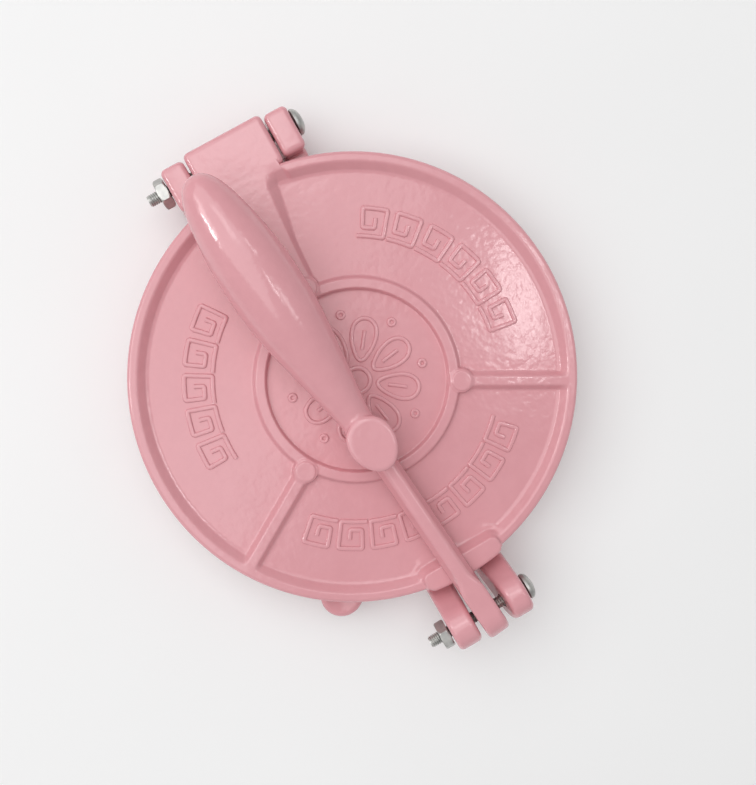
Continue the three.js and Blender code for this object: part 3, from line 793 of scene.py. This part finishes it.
def lever_ear(name, side):
    """One of the two ears that hold the lever's screw."""
    low, high = sorted(side * reach for reach in LEVER_EAR)
    eye = circle((LEVER_Y, LEVER_Z), LEVER_EAR_RADIUS, LEVER_EAR_POINTS)
    outline = hull([*eye, *LEVER_EAR_FOOT])
    middle = (LEVER_EAR[0] + LEVER_EAR[1]) / 2

    def drafted(ring, level):
        share = np.clip((middle - abs(level)) / EAR_DRAFT_RUN, 0, 1)
        lean = EAR_DRAFT[side] * (ring[:, 1] - EAR_DRAFT_LEVEL) * share
        return np.column_stack((level + side * lean, ring))

    ear = Casting()
    ear.slab(lambda distance: inset(outline, distance), low, high, EAR_EDGE, drafted)
    bore = screw_bore(LEVER_Y, LEVER_Z, low, high)
    ear.piece(name, "base", paint_material, "pink_paint", cut=(bore,))


# The lever is one smooth skin round a field, so that its forms flow into each other

def smooth_union(first, second, blend):
    gap = np.maximum(blend - np.abs(first - second), 0) / blend
    return np.minimum(first, second) - gap * gap * blend / 4


def rounded_meet(first, second, edge):
    """The part inside both fields, with the edge between them rounded."""
    a, b = first + edge, second + edge
    return np.minimum(np.maximum(a, b), 0) + np.hypot(np.maximum(a, 0), np.maximum(b, 0)) - edge


def between_levels(z, bottom, top):
    """Below zero from a bottom level to a top one."""
    return np.abs(z - (top + bottom) / 2) - (top - bottom) / 2


def grip_table():
    """The grip's radius along its length, drawn smoothly through its shares."""
    places, wide = np.array(GRIP_SHARES).T
    slopes = np.gradient(wide, places)
    fine = 1 - (1 - np.linspace(0, 1, GRIP_TABLE_POINTS)) ** GRIP_TABLE_CROWDING
    at = np.clip(np.searchsorted(places, fine, side="right") - 1, 0, len(places) - 2)
    step = places[at + 1] - places[at]
    t = (fine - places[at]) / step
    values = ((1 + 2 * t) * (1 - t) ** 2 * wide[at] + t * (1 - t) ** 2 * step * slopes[at]
              + t * t * (3 - 2 * t) * wide[at + 1] + t * t * (t - 1) * step * slopes[at + 1])
    return fine, np.maximum(values, 0.0)


grip_places, grip_widths = grip_table()


def lever_field(x, d, z):
    """Below zero inside the lever. d is the distance from its hinge axis along it."""
    knuckle = rounded_meet(np.hypot(d, z - LEVER_Z) - KNUCKLE_RADIUS,
                           np.abs(x) - KNUCKLE_HALF, KNUCKLE_EDGE)
    flare = ramp((d - FLARE[0]) / (FLARE[1] - FLARE[0]))
    foot = KNUCKLE_HALF + (ARM_FOOT_HALF - KNUCKLE_HALF) * flare
    crown = KNUCKLE_HALF + (ARM_TOP_HALF - KNUCKLE_HALF) * flare
    half = foot + (crown - foot) * np.clip((z - ARM_BOTTOM) / (ARM_TOP - ARM_BOTTOM), 0, 1)
    arm = rounded_meet((np.abs(x) - half) * ARM_DRAFT,
                       between_levels(z, ARM_BOTTOM, ARM_TOP), ARM_EDGE)
    arm = np.maximum(arm, np.maximum(-d, d - BOSS_PLACE))
    widen = 1 + BOSS_WIDENING * (d - BOSS_PLACE) / BOSS_LENGTH
    across = np.hypot(x / (BOSS_HALF * widen), (d - BOSS_PLACE) / BOSS_LENGTH)
    taper = BOSS_TAPER * (1 - np.clip((z - BOSS_BOTTOM) / (BOSS_TOP - BOSS_BOTTOM), 0, 1))
    boss = rounded_meet((across - 1) * BOSS_REACH + taper,
                        between_levels(z, BOSS_BOTTOM, BOSS_TOP), BOSS_EDGE)
    along = (d - GRIP_START) / (GRIP_END - GRIP_START)
    axis = GRIP_RISE + (d - GRIP_START) * math.tan(math.radians(GRIP_PITCH))
    wide = GRIP_RADIUS * np.interp(along, grip_places, grip_widths)
    grip = np.hypot(x, (z - axis) / GRIP_FLAT) - wide
    grip = np.maximum(grip, np.maximum(GRIP_START - d, d - GRIP_END))
    body = smooth_union(np.minimum(knuckle, arm), boss, BOSS_BLEND)
    return smooth_union(body, grip, GRIP_BLEND)


def skin(field, low, high, pitch):
    """A closed mesh of quads round the inside of a field, laid on it exactly."""
    axes = [np.arange(start, end + pitch, pitch) for start, end in zip(low, high)]
    inside = field(*np.meshgrid(*axes, indexing="ij")) < 0
    a, b, c = (size - 1 for size in inside.shape)
    corners = [(i, j, k) for i in (0, 1) for j in (0, 1) for k in (0, 1)]
    cells = sum(inside[i:a + i, j:b + j, k:c + k].astype(int) for i, j, k in corners)
    mixed = (cells > 0) & (cells < len(corners))
    number = np.full(mixed.shape, -1)
    number[mixed] = np.arange(mixed.sum())
    points = (np.argwhere(mixed) + 0.5) * pitch + np.array(low)
    quads = []
    for axis in range(3):
        first = np.swapaxes(inside, 0, axis)[:-1]
        second = np.swapaxes(inside, 0, axis)[1:]
        table = np.swapaxes(number, 0, axis)
        for sign in (True, False):
            change = (first == sign) & (second != sign)
            i, j, k = np.nonzero(change[:, 1:-1, 1:-1])
            j, k = j + 1, k + 1
            quad = np.column_stack((
                table[i, j - 1, k - 1], table[i, j, k - 1], table[i, j, k], table[i, j - 1, k]))
            quads.append(quad if sign != (axis == 1) else quad[:, ::-1])
    quads = np.concatenate(quads)
    for step in range(LAYING_STEPS):
        if step < SMOOTHING_STEPS:
            points = smoothed(points, quads)
        points = onto(field, points)
    return points, quads.tolist()


def smoothed(points, quads):
    """Points moved towards the mean of their neighbours along the quads' sides."""
    total = np.zeros_like(points)
    used = np.zeros(len(points))
    for corner in range(4):
        for other in (1, 3):
            np.add.at(total, quads[:, corner], points[quads[:, (corner + other) % 4]])
            np.add.at(used, quads[:, corner], 1)
    return (1 - SMOOTHING) * points + SMOOTHING * total / used[:, None]


def onto(field, points):
    """Points moved on to the surface of a field."""
    value = field(*points.T)
    slope = np.column_stack([
        (field(*(points + step).T) - field(*(points - step).T)) / (2 * SLOPE_STEP)
        for step in SLOPE_STEP * np.eye(3)])
    move = np.clip(value / np.maximum((slope ** 2).sum(1), SLOPE_LEAST), -LAYING_MOST, LAYING_MOST)
    return points - move[:, None] * slope


def skewed(points):
    """Points of the lever as it lies: turned by the slack in its hinge, and on its axis."""
    turn = math.radians(SKEW)
    x, d, z = np.asarray(points, float).T
    return np.column_stack((x * math.cos(turn) - d * math.sin(turn) - SKEW_SHIFT,
                            x * math.sin(turn) + d * math.cos(turn) + LEVER_Y, z))


def make_lever():
    pitch = SKIN_PITCH
    points, faces = skin(lever_field, SKIN_LOW, SKIN_HIGH, pitch)
    made = Casting()
    made.add(skewed(points), faces)
    hole = circle((0, LEVER_Z), KNUCKLE_BORE, KNUCKLE_BORE_POINTS)
    bore = Casting()
    bore.rings([skewed(along_x(hole, side * KNUCKLE_BORE_HALF)) for side in SIDES])
    made.piece("lever_casting", "handle", paint_material, "pink_paint", "lever", cut=(bore,))


# Screws and nuts

def thread(made, y, z, start, end):
    """A screw's shank along X with a real helical thread."""
    turns = np.linspace(0, 2 * math.pi, THREAD_POINTS + 1)[:-1]
    rings = []
    for level in np.arange(start, end, THREAD_PITCH / THREAD_STEPS):
        phase = (level / THREAD_PITCH - turns / (2 * math.pi)) % 1
        fade = min(1.0, (level - start) / THREAD_LEAD)
        cut = THREAD_DEPTH * np.abs(2 * phase - 1) * fade
        radius = SCREW_RADIUS - cut - THREAD_LEAD_DEPTH * (1 - fade)
        ring = np.column_stack((y + radius * np.cos(turns), z + radius * np.sin(turns)))
        rings.append(along_x(ring, level))
    made.rings(rings)


def make_screw(name, y, z, outer):
    """A round-headed screw with its head on the right and its thread out on the left."""
    seat = outer + SEAT_GAP
    dome = [(HEAD_RADIUS * math.cos(t), HEAD_RIM + (HEAD_HEIGHT - HEAD_RIM) * math.sin(t))
            for t in np.linspace(0, math.pi / 2, DOME_STEPS + 1)[1:-1]]
    profile = [(0, 0), (HEAD_RADIUS - HEAD_FOOT, 0), (HEAD_RADIUS, HEAD_FOOT_RISE),
               *dome, (HEAD_CROWN, HEAD_HEIGHT)]
    head = Casting()
    head.turned(profile, HEAD_POINTS, lambda ring, level: along_x(ring + (y, z), seat + level))
    half = SLOT_WIDTH / 2
    outline = np.array(((y - SLOT_HALF, z - half), (y + SLOT_HALF, z - half),
                        (y + SLOT_HALF, z + half), (y - SLOT_HALF, z + half)))
    top = seat + HEAD_HEIGHT
    slot = Casting()
    slot.rings([along_x(outline, level) for level in (top - SLOT_DEPTH, top + SLOT_OVERRUN)])
    head.piece(f"{name}_screw_head", "base", zinc_material, "zinc_steel", f"{name}_screw",
               cut=(slot,))
    shank = Casting()
    thread(shank, y, z, -(seat + NUT_HEIGHT + STUB), seat + THREAD_IN_HEAD)
    shank.piece(f"{name}_screw_thread", "base", zinc_material, "zinc_steel", f"{name}_screw")


def make_nut(name, y, z, outer):
    """A hexagon nut with its corners chamfered by a cone and a bore for the thread."""
    seat = -(outer + SEAT_GAP)
    corner = NUT_ACROSS / math.sqrt(3)
    turns = np.radians(np.arange(0, 360, NUT_TURN_STEP) + NUT_TURN)
    flat = (NUT_ACROSS / 2) / np.cos((turns % (math.pi / 3)) - math.pi / 6)

    def ring(radius, level):
        outline = np.column_stack((y + radius * np.cos(turns), z + radius * np.sin(turns)))
        return along_x(outline, seat - level)

    rings = []
    for level in np.linspace(0, NUT_HEIGHT, NUT_STEPS + 1):
        depth = min(level, NUT_HEIGHT - level)
        cone = corner - NUT_CHAMFER + depth / math.tan(math.radians(NUT_CONE))
        rings.append(ring(np.minimum(flat, cone), level))
    wide = NUT_BORE + NUT_BORE_CHAMFER
    rings += [ring(wide, NUT_HEIGHT), ring(NUT_BORE, NUT_HEIGHT - NUT_BORE_CHAMFER_DEPTH),
              ring(NUT_BORE, NUT_BORE_CHAMFER_DEPTH), ring(wide, 0)]
    made = Casting()
    made.rings([*rings, rings[0]], caps=False)
    made.piece(f"{name}_nut_hexagon", "base", zinc_material, "zinc_steel", f"{name}_nut")


make_top_plate()
make_hinge_block()
make_frets()
make_rosette()
make_base_plate()
for side_name, side in zip(("left", "right"), SIDES):
    hinge_ear(f"hinge_ear_{side_name}", side)
    lever_ear(f"lever_ear_{side_name}", side)
make_lever()
for fastening, y, z, outer in (("hinge", HINGE_Y, HINGE_Z, HINGE_EAR[1]),
                               ("lever", LEVER_Y, LEVER_Z, LEVER_EAR[1])):
    make_screw(fastening, y, z, outer)
    make_nut(fastening, y, z, outer)


# The floor and the light

FLOOR_HALF, FLOOR_Z = 3.0, -0.00005
ROOM_COLOUR, ROOM_STRENGTH = (1, 1, 1, 1), 0.48
# Each lamp: its name, the way to it from the press, how far off it is and its size in metres,
# and its power in watts
CEILING = ("ceiling", (-0.29, 0.42, 1.0), 0.9, (1.1, 1.1), 6.1)
MIRRORED_LAMPS = (
    ("lamp_left", (-0.69, 0.28, 0.67), 0.7, (0.06, 0.06), 0.38),
    ("window_left", (-0.57, 0.42, 0.71), 0.7, (0.24, 0.18), 0.42),
    ("lamp_right", (0.45, 0.17, 0.88), 0.9, (0.1, 0.1), 0.15),
    ("window_right", (0.42, -0.19, 0.89), 0.9, (0.2, 0.15), 0.3),
    ("glare_top", (0.06, 0.3, 0.95), 0.9, (0.2, 0.2), 0.26),
    ("glare_right", (0.281, -0.095, 0.956), 0.927, (0.14, 0.04), 0.26),
)


def make_floor():
    mesh = bpy.data.meshes.new("floor")
    corners = [(x * FLOOR_HALF, y * FLOOR_HALF, 0) for x, y in ((-1, -1), (1, -1), (1, 1), (-1, 1))]
    mesh.from_pydata(corners, [], [(0, 1, 2, 3)])
    mesh.materials.append(floor_paper("floor_paper"))
    floor = bpy.data.objects.new("floor", mesh)
    bpy.context.scene.collection.objects.link(floor)
    floor.location.z = FLOOR_Z


def area_light(name, towards, distance, size, power):
    """A soft lamp that shines on the press from a direction."""
    data = bpy.data.lights.new(name, "AREA")
    data.shape = "RECTANGLE"
    data.size, data.size_y = size
    data.energy = power
    lamp = bpy.data.objects.new(name, data)
    bpy.context.scene.collection.objects.link(lamp)
    direction = Vector(towards).normalized()
    lamp.location = direction * distance
    lamp.rotation_euler = direction.to_track_quat("Z", "Y").to_euler()
    return lamp


def light_the_press():
    """An even room and a wide ceiling lamp, and small lamps that only show as reflections."""
    world = bpy.data.worlds.new("room")
    bpy.context.scene.world = world
    world.use_nodes = True
    background = world.node_tree.nodes["Background"].inputs
    background["Color"].default_value = ROOM_COLOUR
    background["Strength"].default_value = ROOM_STRENGTH
    area_light(*CEILING)
    for lamp in MIRRORED_LAMPS:
        area_light(*lamp).visible_diffuse = False


make_floor()
light_the_press()
bpy.context.scene.view_settings.view_transform = "Standard"
